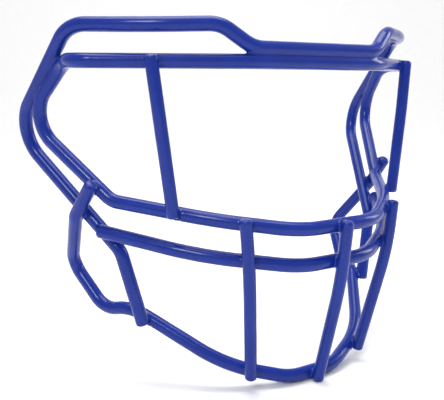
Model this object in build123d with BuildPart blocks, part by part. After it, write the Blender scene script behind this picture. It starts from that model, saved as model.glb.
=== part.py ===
from build123d import *

import os

os.makedirs("parts", exist_ok=True)

# A football helmet face mask: nine bent steel wires, welded where they touch and dipped in polymer.
# The origin is the centre of the bounding box. +X is the wearer's left, -Y is the mask's front, +Z is up.
# All sizes are in millimetres.

# Driving dimensions
frame_wire = 5.7  # diameter of the four frame wires
upright_wire = 5.0  # diameter of the five uprights
coat = 0.5  # thickness of the polymer coat
seat = 0.15  # gap between two bare wires at a weld, filled by its nugget
coat_rounding = 0.7  # rounding of the coat at a wire's end
wire_chamfer = 0.3  # chamfer of a bare wire's end
nugget_radius = 1.3  # fused metal of a weld, a slug sunk into both wires
nugget_length = 2.4

brow_y = -34.5  # the eye loop's straight brow run
brow_z = 68.0
side_by_side = frame_wire + seat  # between the axes of two frame wires that lie together

# Routes. A corner is (x, y, z, bend radius), and an end has no bend. A symmetric wire has the
# route of its +X half, which starts on the symmetry plane.
outer_frame = [
    (0, brow_y, brow_z + side_by_side, None),
    (37, brow_y, brow_z + side_by_side, 14),
    (50.5, -28.8, 84.1, 15),
    (80.2, -11.2, 83.7, 100),
    (102.7, 15, 85, 18),
    (113.2, 64.6, 36.4, 18.5),
    (82.2, 11, -20.2, 10),
    (73.4, 6.9, -57.2, None),
]
eye_loop = [
    (0, brow_y, brow_z, None),
    (39.5, brow_y, brow_z, 30),
    (105.5, 5.5, 68.8, 12),
    (101.4, 23.5, 69.5, 16),
    (111.8, 49.5, 42.5, 16.5),
    (86.2, 10.5, 4.6, 12),
    (54, -28.4, -2.1, 120),
    (23, -51.4, -6.5, 33),
    (0, -51.4, -6.5, None),
]
lower_cross = [
    (0, -49.1, -23.9, None),
    (20.7, -49.1, -23.9, 33),
    (58.4, -24.8, -18.9, 110),
    (91.1, 15.4, -10, None),
]
jaw = [
    (0, -33.4, -84.4, None),
    (14, -33.4, -84.4, 28),
    (43.4, -20.8, -75.9, 63),
    (74.2, 16.8, -51.2, 23),
    (82, 33.2, -54.9, 14),
    (90.9, 52.6, -32.8, 10.5),
    (97.9, 27, -3.6, 12),
    (95.3, 12.4, 12.7, None),
]
left_eye_upright = [(78.5, -17.3, 70.3, None), (75.4, -18.1, 44.7, 150), (69.3, -18.4, -0.7, None)]
left_front_upright = [(46, -41.6, -0.9, None), (43.4, -40.9, -25.7, 145), (34.8, -29.9, -81.2, None)]
centre_front_upright = [(0, -57.3, -4.1, None), (0, -53.7, -32.5, 190), (0, -38.4, -87, None)]


# Wires: name, route, diameter. The right uprights are the left ones mirrored.
wires = {
    "outer_frame_wire": (outer_frame, frame_wire),
    "eye_loop_wire": (eye_loop, frame_wire),
    "lower_cross_wire": (lower_cross, frame_wire),
    "jaw_wire": (jaw, frame_wire),
    "left_eye_upright": (left_eye_upright, upright_wire),
    "left_front_upright": (left_front_upright, upright_wire),
    "centre_front_upright": (centre_front_upright, upright_wire),
}


def starts_on_plane(route):
    """A symmetric wire's half route starts along +X from the symmetry plane."""
    return route[0][0] == 0 and route[1][0] > 0


def ends_on_plane(route):
    """Only the closed eye loop comes back to the symmetry plane."""
    return starts_on_plane(route) and route[-1][0] == 0


def axis(route, overrun=0.0):
    """The wire's axis, its free ends lengthened by overrun."""
    points = [Vector(x, y, z) for x, y, z, bend in route]
    if not starts_on_plane(route):
        points[0] += (points[0] - points[1]).normalized() * overrun
    if not ends_on_plane(route):
        points[-1] += (points[-1] - points[-2]).normalized() * overrun
    with BuildLine() as line:
        FilletPolyline(*points, radius=[bend for x, y, z, bend in route[1:-1]])
    return line


def rod(route, diameter, overrun=0.0):
    """A round bar along the wire's axis, on both sides of the symmetry plane."""
    with BuildPart() as bar:
        with BuildLine() as path:
            add(axis(route, overrun).line)
        with BuildSketch(Plane(path.line @ 0, z_dir=path.line % 0)):
            Circle(diameter / 2)
        sweep()
        if starts_on_plane(route):
            mirror(about=Plane.YZ)
    return bar


def corner(route, index):
    """A corner of a route as a point."""
    x, y, z, bend = route[index]
    return Vector(x, y, z)


def between(route, index, share):
    """A point on the straight line from one corner to the next."""
    start = corner(route, index)
    return start + (corner(route, index + 1) - start) * share


def seam(first, second, hint):
    """The middle of the gap between two wires, at the place nearest to hint, facing across it."""
    first_axis = axis(wires[first][0]).line
    second_axis = axis(wires[second][0]).line
    spot = hint
    for step in range(4):
        gap, spot_on_first, _ = first_axis.distance_to_with_closest_points(Vertex(*spot))
        gap, spot, _ = second_axis.distance_to_with_closest_points(Vertex(*spot_on_first))
    return Plane((spot_on_first + spot) / 2, z_dir=spot_on_first - spot)


# Weld groups: node name, then each weld as its two wires and a point near the place where they meet.
# A weld off the symmetry plane has a twin on the other side.
loop, frame, cross, chin = "eye_loop_wire", "outer_frame_wire", "lower_cross_wire", "jaw_wire"
eye, side, middle = "left_eye_upright", "left_front_upright", "centre_front_upright"
welds = {
    "brow_tack_welds": [
        (frame, loop, Vector(0, brow_y, brow_z)),
        (frame, loop, Vector(30, brow_y, brow_z)),
    ],
    "temple_tack_welds": [
        (frame, loop, between(eye_loop, 3, 0.35)),
        (frame, loop, between(eye_loop, 3, 0.7)),
    ],
    "eye_upright_brow_welds": [(loop, eye, corner(left_eye_upright, 0))],
    "eye_upright_cheek_welds": [(loop, eye, corner(left_eye_upright, -1))],
    "front_upright_top_welds": [
        (loop, side, corner(left_front_upright, 0)),
        (loop, middle, corner(centre_front_upright, 0)),
    ],
    "front_upright_middle_welds": [
        (cross, side, corner(left_front_upright, 1)),
        (cross, middle, corner(centre_front_upright, 1)),
    ],
    "front_upright_chin_welds": [
        (chin, side, corner(left_front_upright, -1)),
        (chin, middle, corner(centre_front_upright, -1)),
    ],
    "cross_wire_end_welds": [(frame, cross, corner(lower_cross, -1))],
    "jaw_wire_end_welds": [(loop, chin, corner(jaw, -1))],
    "jaw_wire_side_welds": [(frame, chin, corner(jaw, -2))],
    "outer_frame_end_welds": [(chin, frame, corner(outer_frame, -1))],
}

# Weld nuggets: slugs of fused metal, sunk into both wires
nuggets = {}
touching = {name: [] for name in wires}
for name, joints in welds.items():
    with BuildPart() as group:
        for first, second, hint in joints:
            place = seam(first, second, hint)
            with Locations(place):
                slug = Cylinder(nugget_radius, nugget_length)
            if place.origin.X > nugget_radius:
                mirror(slug, about=Plane.YZ)
            for wire, other in ((first, second), (second, first)):
                touching[wire].append((name, other))
    group.part.label = name
    export_step(group.part, f"parts/{name}.step")
    nuggets[name] = group.part


def twin(name):
    """The name of the same upright on the right."""
    return name.replace("left_", "right_")


def both_sides(name, solid):
    """The solid, and its mirror image where it's a left upright."""
    if twin(name) == name:
        return [solid]
    return [solid, mirror(solid, about=Plane.YZ, mode=Mode.PRIVATE)]


# Bare steel wires, with the seat of each nugget in them
bars = {name: rod(route, diameter).part for name, (route, diameter) in wires.items()}
for name, (route, diameter) in wires.items():
    with BuildPart() as core:
        add(bars[name])
        if not ends_on_plane(route):
            chamfer(core.faces().filter_by(GeomType.PLANE).edges(), wire_chamfer)
        for weld in sorted({weld for weld, other in touching[name]}):
            for solid in nuggets[weld].solids():
                add(solid, mode=Mode.SUBTRACT)
    core.part.label = name
    export_step(core.part, f"parts/{name}.step")
    if twin(name) != name:
        with BuildPart() as other_core:
            mirror(core.part, about=Plane.YZ)
        other_core.part.label = twin(name)
        export_step(other_core.part, f"parts/{twin(name)}.step")

# Polymer coat: a sleeve on each wire. Where two sleeves meet, the earlier one keeps the space.
coated_bars = {}
for name, (route, diameter) in wires.items():
    with BuildPart() as coated:
        add(rod(route, diameter + 2 * coat, coat).part)
        if not ends_on_plane(route):
            fillet(coated.faces().filter_by(GeomType.PLANE).edges(), coat_rounding)
    coated_bars[name] = coated.part

order = list(wires)
for name in order:
    node = name.removesuffix("_wire") + "_coat"
    with BuildPart() as sleeve:
        add(coated_bars[name])
        for other in sorted({other for weld, other in touching[name]}):
            first = order.index(other) < order.index(name)
            taken = coated_bars[other] if first else bars[other]
            for solid in both_sides(other, taken):
                add(solid, mode=Mode.SUBTRACT)
        add(bars[name], mode=Mode.SUBTRACT)
        for weld in sorted({weld for weld, other in touching[name]}):
            for solid in nuggets[weld].solids():
                add(solid, mode=Mode.SUBTRACT)
    sleeve.part.label = node
    export_step(sleeve.part, f"parts/{node}.step")
    if twin(name) != name:
        with BuildPart() as other_sleeve:
            mirror(sleeve.part, about=Plane.YZ)
        other_sleeve.part.label = twin(node)
        export_step(other_sleeve.part, f"parts/{twin(node)}.step")
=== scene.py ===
import math

import bpy
import numpy as np
from mathutils import Matrix, Vector, noise


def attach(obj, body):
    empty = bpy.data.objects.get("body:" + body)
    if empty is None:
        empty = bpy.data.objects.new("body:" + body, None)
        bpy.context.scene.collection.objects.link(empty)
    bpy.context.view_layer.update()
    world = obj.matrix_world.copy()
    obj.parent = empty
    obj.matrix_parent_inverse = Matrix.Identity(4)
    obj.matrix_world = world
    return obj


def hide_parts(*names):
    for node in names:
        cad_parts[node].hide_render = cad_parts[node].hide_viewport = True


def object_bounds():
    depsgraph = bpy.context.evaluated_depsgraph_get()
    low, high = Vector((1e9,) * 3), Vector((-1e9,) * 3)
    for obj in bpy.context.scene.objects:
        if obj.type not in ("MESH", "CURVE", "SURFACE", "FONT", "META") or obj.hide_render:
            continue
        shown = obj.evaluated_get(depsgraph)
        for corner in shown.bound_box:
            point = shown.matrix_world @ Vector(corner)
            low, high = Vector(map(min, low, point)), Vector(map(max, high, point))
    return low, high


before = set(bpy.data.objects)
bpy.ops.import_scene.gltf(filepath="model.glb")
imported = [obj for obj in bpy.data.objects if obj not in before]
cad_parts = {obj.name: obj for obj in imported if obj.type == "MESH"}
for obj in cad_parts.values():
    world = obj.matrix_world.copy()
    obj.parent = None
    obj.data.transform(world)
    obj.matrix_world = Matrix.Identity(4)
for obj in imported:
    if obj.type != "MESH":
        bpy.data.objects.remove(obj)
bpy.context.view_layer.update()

MM = 0.001

# The coat's sizes, as in the CAD: bare wires of 5.7 and 5.0 mm, with 0.5 mm of polymer on them
COAT = 0.5
FRAME_RADIUS = 5.7 / 2 + COAT
UPRIGHT_RADIUS = 5.0 / 2 + COAT

# What only the looks need, in millimetres
RING_STEP = 0.65  # between two rings of a coat's mesh
SEGMENTS = 44
END_ROUNDING = 1.5  # the coat's rounding at a wire's end
WEB = 1.7  # reach of the web of coat in the crease between two wires
WEB_CHANGE = 0.5  # how much that reach differs from place to place
SWELL = 0.035  # thick and thin places in the coat
SWELL_FREQUENCIES = (0.11, 0.31)  # of those places, per millimetre: long ones, and half as deep short ones
WEB_FREQUENCY = 0.23
MOST_RAISED = 1.6  # the coat is never raised by more than this in a crease
FACE_DOME = ((0.12, 0.66), (0.18, 0.3))  # the slightly domed end face: height, share of its radius
CAP_STEPS = 8

# The wires' axes, as in the CAD: corners (x, y, z, bend radius). A symmetric wire has the route of
# its +X half, which starts on the symmetry plane.
OUTER_FRAME = [
    (0, -34.5, 73.85, None),
    (37, -34.5, 73.85, 14),
    (50.5, -28.8, 84.1, 15),
    (80.2, -11.2, 83.7, 100),
    (102.7, 15, 85, 18),
    (113.2, 64.6, 36.4, 18.5),
    (82.2, 11, -20.2, 10),
    (73.4, 6.9, -57.2, None),
]
EYE_LOOP = [
    (0, -34.5, 68, None),
    (39.5, -34.5, 68, 30),
    (105.5, 5.5, 68.8, 12),
    (101.4, 23.5, 69.5, 16),
    (111.8, 49.5, 42.5, 16.5),
    (86.2, 10.5, 4.6, 12),
    (54, -28.4, -2.1, 120),
    (23, -51.4, -6.5, 33),
    (0, -51.4, -6.5, None),
]
LOWER_CROSS = [
    (0, -49.1, -23.9, None),
    (20.7, -49.1, -23.9, 33),
    (58.4, -24.8, -18.9, 110),
    (91.1, 15.4, -10, None),
]
JAW = [
    (0, -33.4, -84.4, None),
    (14, -33.4, -84.4, 28),
    (43.4, -20.8, -75.9, 63),
    (74.2, 16.8, -51.2, 23),
    (82, 33.2, -54.9, 14),
    (90.9, 52.6, -32.8, 10.5),
    (97.9, 27, -3.6, 12),
    (95.3, 12.4, 12.7, None),
]
LEFT_EYE_UPRIGHT = [(78.5, -17.3, 70.3, None), (75.4, -18.1, 44.7, 150), (69.3, -18.4, -0.7, None)]
LEFT_FRONT_UPRIGHT = [(46, -41.6, -0.9, None), (43.4, -40.9, -25.7, 145), (34.8, -29.9, -81.2, None)]
CENTRE_FRONT_UPRIGHT = [(0, -57.3, -4.1, None), (0, -53.7, -32.5, 190), (0, -38.4, -87, None)]


def other_side(route):
    """The same route on the other side of the symmetry plane."""
    return [(-x, y, z, bend) for x, y, z, bend in route]


def rounded(route):
    """Points and directions every RING_STEP or so along the route's runs and arcs."""
    corners = [np.array(c[:3], float) for c in route]
    runs = []
    here = corners[0]
    for before, at, after, bend in zip(corners, corners[1:], corners[2:], [c[3] for c in route[1:-1]]):
        ahead = (at - before) / np.linalg.norm(at - before)
        away = (after - at) / np.linalg.norm(after - at)
        turn = math.acos(np.clip(ahead @ away, -1, 1))
        reach = bend * math.tan(turn / 2)
        side = away - ahead * (ahead @ away)
        side /= np.linalg.norm(side)
        start = at - ahead * reach
        runs.append(("run", here, start, ahead))
        runs.append(("arc", start + side * bend, bend, ahead, side, turn))
        here = at + away * reach
    last = corners[-1] - here
    runs.append(("run", here, corners[-1], last / np.linalg.norm(last)))
    points, directions = [], []
    for piece in runs:
        if piece[0] == "run":
            length = np.linalg.norm(piece[2] - piece[1])
            count = max(1, round(length / RING_STEP))
            for i in range(count):
                points.append(piece[1] + (piece[2] - piece[1]) * i / count)
                directions.append(piece[3])
        else:
            centre, bend, ahead, side, turn = piece[1:]
            count = max(2, round(bend * turn / RING_STEP))
            for i in range(count):
                angle = turn * i / count
                points.append(centre + bend * (ahead * math.sin(angle) - side * math.cos(angle)))
                directions.append(ahead * math.cos(angle) + side * math.sin(angle))
    points.append(corners[-1])
    directions.append(runs[-1][3])
    return np.array(points), np.array(directions)


def full_axis(route):
    """The whole wire's points and directions, and whether it is a closed loop."""
    points, directions = rounded(route)
    if route[0][0] != 0 or route[1][0] == 0:
        return points, directions, False
    closed = route[-1][0] == 0
    flip = np.array([-1, 1, 1])
    start = 1 if closed else 0
    points = np.vstack([(points[::-1] * flip)[start:-1], points])
    directions = np.vstack([(-directions[::-1] * flip)[start:-1], directions])
    return points, directions, closed


class Wire:
    """A coated wire: its axis, radius and rings."""

    def __init__(self, route, radius):
        self.radius = radius
        self.points, self.directions, self.closed = full_axis(route)
        side = np.cross(self.directions[0], [0.31, 0.55, 0.77])
        side /= np.linalg.norm(side)
        self.sides = []
        for direction in self.directions:
            side = side - direction * (side @ direction)
            side /= np.linalg.norm(side)
            self.sides.append(side)
        self.sides = np.array(self.sides)
        self.ups = np.cross(self.directions, self.sides)
        chain = self.points
        if self.closed:
            chain = np.vstack([chain, chain[:1]])
        self.starts = chain[:-1]
        self.spans = chain[1:] - chain[:-1]

    def stretch_near(self, centres, within):
        """The part of the axis that comes near these points, or None."""
        gaps = ((self.starts[:, None, :] - centres[None, :, :]) ** 2).sum(2).min(1)
        close = gaps < within**2
        return Stretch(self.starts[close], self.spans[close], self.radius) if close.any() else None


class Stretch:
    """A stretch of a coated wire's axis."""

    def __init__(self, starts, spans, radius):
        self.starts, self.spans, self.radius = starts, spans, radius
        self.lengths_squared = (spans**2).sum(1)

    def distance(self, places):
        """How far each place is outside the coat, and the way straight out of it."""
        offset = places[:, None, :] - self.starts[None, :, :]
        along = np.einsum("ijk,jk->ij", offset, self.spans) / self.lengths_squared
        along = np.clip(along, 0, 1)
        gaps = (offset**2).sum(2) - 2 * along * np.einsum("ijk,jk->ij", offset, self.spans)
        gaps += along**2 * self.lengths_squared
        best = gaps.argmin(1)
        share = along[np.arange(len(places)), best]
        away = places - self.starts[best] - self.spans[best] * share[:, None]
        length = np.linalg.norm(away, axis=1)
        return length - self.radius, away / np.maximum(length, 1e-9)[:, None]


def blended(own, others, reach):
    """The smooth union of the coats' distances, and each coat's share of it."""
    value = own.copy()
    shares = [np.ones_like(own)]
    for distance in others:
        share = np.clip(0.5 + 0.5 * (distance - value) / reach, 0, 1)
        value = value * share + distance * (1 - share) - reach * share * (1 - share)
        shares = [s * share for s in shares] + [1 - share]
    return value, shares


def web_reach(places):
    """The web's reach at each place: welding and dipping are never even."""
    change = np.array([noise.noise(Vector(p * WEB_FREQUENCY)) for p in places])
    return WEB * (1 + WEB_CHANGE * change)


def capped(wire, rings):
    """The rings of an open wire, with its rounded ends."""
    caps = []
    for step in range(1, CAP_STEPS + 1):
        angle = math.pi / 2 * step / CAP_STEPS
        inset = END_ROUNDING * (1 - math.sin(angle))
        shrink = END_ROUNDING * (1 - math.cos(angle))
        caps.append((COAT - inset, wire.radius - shrink))
    face = caps[-1][1]
    caps += [(COAT + height, face * share) for height, share in FACE_DOME]
    first, last = wire.points[0], wire.points[-1]
    ahead_first, ahead_last = wire.directions[0], wire.directions[-1]
    # rings nearer to an end than its rounding give way to the cap
    room = END_ROUNDING - COAT + 0.2
    far = 4
    rings = [r for r in rings
             if (r[0] - first) @ ahead_first > room or np.linalg.norm(r[0] - first) > far]
    rings = [r for r in rings
             if (last - r[0]) @ ahead_last > room or np.linalg.norm(r[0] - last) > far]
    front = [(first - ahead_first * along, wire.sides[0], wire.ups[0], radius)
             for along, radius in reversed(caps)]
    back = [(last + ahead_last * along, wire.sides[-1], wire.ups[-1], radius)
            for along, radius in caps]
    return front + rings + back


def coat_mesh(name, wire, neighbours):
    """The coat of one wire as a closed mesh, webbed into its neighbours."""
    rings = [(p, s, u, wire.radius) for p, s, u in zip(wire.points, wire.sides, wire.ups)]
    if not wire.closed:
        rings = capped(wire, rings)
    centres = np.array([r[0] for r in rings])
    sides = np.array([r[1] for r in rings])
    ups = np.array([r[2] for r in rings])
    radii = np.array([r[3] for r in rings])
    angles = 2 * math.pi * np.arange(SEGMENTS) / SEGMENTS
    outward = (sides[:, None, :] * np.cos(angles)[None, :, None]
               + ups[:, None, :] * np.sin(angles)[None, :, None])
    places = centres[:, None, :] + outward * radii[:, None, None]
    places = places.reshape(-1, 3)
    outward = outward.reshape(-1, 3)
    long, short = SWELL_FREQUENCIES
    swell = [noise.noise(Vector(p * long)) + 0.5 * noise.noise(Vector(p * short)) for p in places]
    push = SWELL * np.array(swell)

    apart = np.full(len(rings), np.inf)
    for other in neighbours:
        gaps = ((centres[:, None, :] - other.points[None, ::3, :]) ** 2).sum(2).min(1) ** 0.5
        apart = np.minimum(apart, gaps - other.radius)
    close_rings = np.nonzero(apart < wire.radius + 2 * WEB + 1)[0]
    normals = {}
    for group in np.array_split(close_rings, max(1, len(close_rings) // 24)):
        if not len(group):
            continue
        within = 2 * wire.radius + 2 * WEB + 5
        stretches = [other.stretch_near(centres[group], within) for other in neighbours]
        stretches = [stretch for stretch in stretches if stretch]
        if not stretches:
            continue
        index = (group[:, None] * SEGMENTS + np.arange(SEGMENTS)[None, :]).ravel()
        base, way = places[index], outward[index]
        reach = web_reach(base)

        def state(raised):
            """Zero or more where the coat's outside, or its border with a neighbour, is reached."""
            spots = base + way * raised[:, None]
            others = [stretch.distance(spots)[0] for stretch in stretches]
            value, shares = blended(raised, others, reach)
            return np.maximum(value, raised - np.min(others, axis=0))

        low = np.zeros(len(index))
        high = np.full(len(index), MOST_RAISED)
        buried = state(low) >= 0
        for step in range(11):
            middle = (low + high) / 2
            reached = state(middle) >= 0
            high = np.where(reached, middle, high)
            low = np.where(reached, low, middle)
        raised = np.where(buried, 0, (low + high) / 2)
        push[index] += raised
        fields = [stretch.distance(base + way * raised[:, None]) for stretch in stretches]
        value, shares = blended(raised, [gap for gap, out in fields], reach)
        slope = way * shares[0][:, None]
        for share, (gap, out) in zip(shares[1:], fields):
            slope = slope + out * share[:, None]
        slope /= np.linalg.norm(slope, axis=1)[:, None]
        webbed = shares[0] < 0.999
        normals.update({int(i): n for i, n, w in zip(index, slope, webbed) if w})
    places = places + outward * push[:, None]

    ring_count = len(rings)
    faces = []
    for ring in range(ring_count if wire.closed else ring_count - 1):
        following = (ring + 1) % ring_count
        for seg in range(SEGMENTS):
            beside = (seg + 1) % SEGMENTS
            faces.append((ring * SEGMENTS + seg, ring * SEGMENTS + beside,
                          following * SEGMENTS + beside, following * SEGMENTS + seg))
    points = [Vector(p * MM) for p in places]
    if not wire.closed:
        for ring, sign in ((0, -1), (ring_count - 1, 1)):
            tip = len(points)
            centre = centres[ring] + sign * 0.02 * np.cross(sides[ring], ups[ring])
            points.append(Vector(centre * MM))
            for seg in range(SEGMENTS):
                beside = (seg + 1) % SEGMENTS
                pair = (ring * SEGMENTS + seg, ring * SEGMENTS + beside)
                faces.append((tip, *(pair[::-1] if sign < 0 else pair)))
    mesh = bpy.data.meshes.new(name)
    mesh.from_pydata(points, [], faces)
    mesh.validate()
    mesh.update()
    mesh.shade_smooth()
    shading = [tuple(v.vector) for v in mesh.vertex_normals]
    for i, normal in normals.items():
        shading[i] = tuple(normal)
    mesh.normals_split_custom_set_from_vertices(shading)
    return mesh


# Materials
def material(name):
    made = bpy.data.materials.new(name)
    made.use_nodes = True
    return made, made.node_tree.nodes, made.node_tree.links, made.node_tree.nodes["Principled BSDF"]


def texture(nodes, links, scale, detail, roughness=0.5):
    where = nodes.new("ShaderNodeTexCoord")
    pattern = nodes.new("ShaderNodeTexNoise")
    pattern.inputs["Scale"].default_value = scale
    pattern.inputs["Detail"].default_value = detail
    pattern.inputs["Roughness"].default_value = roughness
    links.new(where.outputs["Object"], pattern.inputs["Vector"])
    return pattern


def ramp(nodes, links, source, stops):
    made = nodes.new("ShaderNodeValToRGB")
    elements = made.color_ramp.elements
    elements[0].position, elements[0].color = stops[0]
    elements[1].position, elements[1].color = stops[-1]
    for position, colour in stops[1:-1]:
        extra = elements.new(position)
        extra.color = colour
    links.new(source, made.inputs["Fac"])
    return made


def coat_material():
    """Glossy dipped polymer: deep blue, a faint orange peel, and slightly uneven gloss."""
    made, nodes, links, shader = material("blue_coat")
    cloud = texture(nodes, links, 45, 3)
    colour = ramp(nodes, links, cloud.outputs["Fac"], [
        (0.3, (0.004, 0.021, 0.225, 1)),
        (0.5, (0.005, 0.024, 0.245, 1)),
        (0.7, (0.007, 0.028, 0.270, 1)),
    ])
    links.new(colour.outputs["Color"], shader.inputs["Base Color"])
    smear = texture(nodes, links, 160, 4, 0.6)
    gloss = ramp(nodes, links, smear.outputs["Fac"], [
        (0.3, (0.17, 0.17, 0.17, 1)),
        (0.7, (0.26, 0.26, 0.26, 1)),
    ])
    links.new(gloss.outputs["Color"], shader.inputs["Roughness"])
    peel = texture(nodes, links, 420, 2)
    bump = nodes.new("ShaderNodeBump")
    bump.inputs["Strength"].default_value = 0.10
    bump.inputs["Distance"].default_value = 0.0004
    links.new(peel.outputs["Fac"], bump.inputs["Height"])
    links.new(bump.outputs["Normal"], shader.inputs["Normal"])
    shader.inputs["IOR"].default_value = 1.45
    shader.inputs["Specular IOR Level"].default_value = 0.3
    shader.inputs["Coat Weight"].default_value = 0.1
    shader.inputs["Coat Roughness"].default_value = 0.08
    return made


def steel_material():
    """Drawn steel wire: grey, with fine lengthwise wear."""
    made, nodes, links, shader = material("steel_wire")
    drawn = texture(nodes, links, 300, 5, 0.7)
    colour = ramp(nodes, links, drawn.outputs["Fac"], [
        (0.3, (0.34, 0.34, 0.35, 1)),
        (0.7, (0.50, 0.50, 0.51, 1)),
    ])
    links.new(colour.outputs["Color"], shader.inputs["Base Color"])
    wear = ramp(nodes, links, drawn.outputs["Fac"], [
        (0.3, (0.30, 0.30, 0.30, 1)),
        (0.7, (0.45, 0.45, 0.45, 1)),
    ])
    links.new(wear.outputs["Color"], shader.inputs["Roughness"])
    shader.inputs["Metallic"].default_value = 1.0
    return made


def weld_material():
    """Fused metal: darker than the wire, with brown and blue heat tint."""
    made, nodes, links, shader = material("weld")
    tint = texture(nodes, links, 700, 4, 0.6)
    colour = ramp(nodes, links, tint.outputs["Fac"], [
        (0.3, (0.16, 0.13, 0.11, 1)),
        (0.5, (0.30, 0.29, 0.29, 1)),
        (0.7, (0.17, 0.19, 0.25, 1)),
    ])
    links.new(colour.outputs["Color"], shader.inputs["Base Color"])
    scale = ramp(nodes, links, tint.outputs["Fac"], [
        (0.3, (0.45, 0.45, 0.45, 1)),
        (0.7, (0.65, 0.65, 0.65, 1)),
    ])
    links.new(scale.outputs["Color"], shader.inputs["Roughness"])
    shader.inputs["Metallic"].default_value = 1.0
    return made


def paper_material():
    """Pale studio paper for the floor and the backdrop."""
    made, nodes, links, shader = material("studio_paper")
    fibre = texture(nodes, links, 60, 4)
    colour = ramp(nodes, links, fibre.outputs["Fac"], [
        (0.3, (0.93, 0.93, 0.93, 1)),
        (0.7, (0.95, 0.95, 0.95, 1)),
    ])
    links.new(colour.outputs["Color"], shader.inputs["Base Color"])
    shader.inputs["Roughness"].default_value = 0.9
    return made


blue, steel, fused, paper = coat_material(), steel_material(), weld_material(), paper_material()
for name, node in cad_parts.items():
    chosen = fused if name.endswith("_welds") else steel
    if name.endswith("_coat"):
        chosen = blue
    node.data.materials.clear()
    node.data.materials.append(chosen)

# The coats: node name, wire
wires = {
    "outer_frame_coat": Wire(OUTER_FRAME, FRAME_RADIUS),
    "eye_loop_coat": Wire(EYE_LOOP, FRAME_RADIUS),
    "lower_cross_coat": Wire(LOWER_CROSS, FRAME_RADIUS),
    "jaw_coat": Wire(JAW, FRAME_RADIUS),
    "left_eye_upright_coat": Wire(LEFT_EYE_UPRIGHT, UPRIGHT_RADIUS),
    "right_eye_upright_coat": Wire(other_side(LEFT_EYE_UPRIGHT), UPRIGHT_RADIUS),
    "left_front_upright_coat": Wire(LEFT_FRONT_UPRIGHT, UPRIGHT_RADIUS),
    "centre_front_upright_coat": Wire(CENTRE_FRONT_UPRIGHT, UPRIGHT_RADIUS),
    "right_front_upright_coat": Wire(other_side(LEFT_FRONT_UPRIGHT), UPRIGHT_RADIUS),
}
for node, wire in wires.items():
    others = [w for n, w in wires.items() if n != node]
    mesh = coat_mesh("dipped_" + node, wire, others)
    piece = bpy.data.objects.new("dipped_" + node, mesh)
    bpy.context.scene.collection.objects.link(piece)
    mesh.materials.append(blue)
    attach(piece, "root")
    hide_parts(node)

# Floor and backdrop: one sheet of paper, curved up behind
low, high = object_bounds()
across = Vector((math.cos(math.radians(-33)), math.sin(math.radians(-33)), 0))
behind = Vector((-across.y, across.x, 0))
# its section in metres: flat, a quarter circle, then upright
FLAT_START, FLAT_END, BEND, TOP = -3.0, 1.6, 1.0, 4.0
profile = [(FLAT_START, 0.0)]
for angle in range(0, 91, 5):
    turn = math.radians(angle)
    profile.append((FLAT_END + BEND * math.sin(turn), BEND - BEND * math.cos(turn)))
profile.append((FLAT_END + BEND, TOP))
sheet_points, sheet_faces = [], []
for depth, height in profile:
    for reach in (-4.0, 4.0):
        sheet_points.append(behind * depth + across * reach + Vector((0, 0, low.z + height)))
for row in range(len(profile) - 1):
    sheet_faces.append((2 * row, 2 * row + 1, 2 * row + 3, 2 * row + 2))
sheet = bpy.data.meshes.new("studio_sweep")
sheet.from_pydata(sheet_points, [], sheet_faces)
sheet.shade_smooth()
floor = bpy.data.objects.new("studio_sweep", sheet)
bpy.context.scene.collection.objects.link(floor)
sheet.materials.append(paper)


# Light
def softbox(name, place, aim, width, height, power, colour=(1, 1, 1)):
    lamp = bpy.data.lights.new(name, "AREA")
    lamp.shape = "RECTANGLE"
    lamp.size, lamp.size_y = width, height
    lamp.energy = power
    lamp.color = colour
    box = bpy.data.objects.new(name, lamp)
    bpy.context.scene.collection.objects.link(box)
    box.location = place
    box.rotation_euler = (Vector(aim) - Vector(place)).to_track_quat("-Z", "Y").to_euler()
    return box


centre = (low + high) / 2
world = bpy.data.worlds.new("studio")
bpy.context.scene.world = world
world.use_nodes = True
world.node_tree.nodes["Background"].inputs["Color"].default_value = (1, 1, 1, 1)
world.node_tree.nodes["Background"].inputs["Strength"].default_value = 0.55
softbox("overhead", centre + Vector((0.0, 0.1, 1.1)), centre, 0.9, 0.9, 9)
softbox("key_left", centre + Vector((-1.0, -0.7, 0.9)), centre, 0.35, 0.35, 7)
wall = behind * 1.7 + Vector((0, 0, low.z + 1.0))
softbox("wall_wash", wall - behind * 1.2 + Vector((0, 0, 1.6)), wall + behind * 0.9, 3.0, 0.8, 34)
softbox("fill_right", centre + Vector((1.1, -0.3, 0.5)), centre, 0.3, 0.6, 4)

# Camera, at the photograph's viewing angle
azimuth, elevation, roll = math.radians(-33.01), math.radians(9.31), math.radians(-0.32)
level = math.cos(elevation)
back = Vector((math.sin(azimuth) * level, -math.cos(azimuth) * level, math.sin(elevation)))
right = Vector((0, 0, 1)).cross(back).normalized()
up = back.cross(right)
tilted_right = right * math.cos(roll) + up * math.sin(roll)
tilted_up = up * math.cos(roll) - right * math.sin(roll)
view = bpy.data.cameras.new("view")
view.sensor_width = 36
view.lens = 55.17
view.clip_start = 0.01
camera = bpy.data.objects.new("view", view)
bpy.context.scene.collection.objects.link(camera)
turned = Matrix((tilted_right, tilted_up, back)).transposed().to_4x4()
aim = Vector((0, 5.5, 10.3))
spot = (aim + back * 360.57 - tilted_right * 23.25 - tilted_up * 12.53) * MM
camera.matrix_world = Matrix.Translation(spot) @ turned
bpy.context.scene.camera = camera
bpy.context.scene.view_settings.view_transform = "Standard"
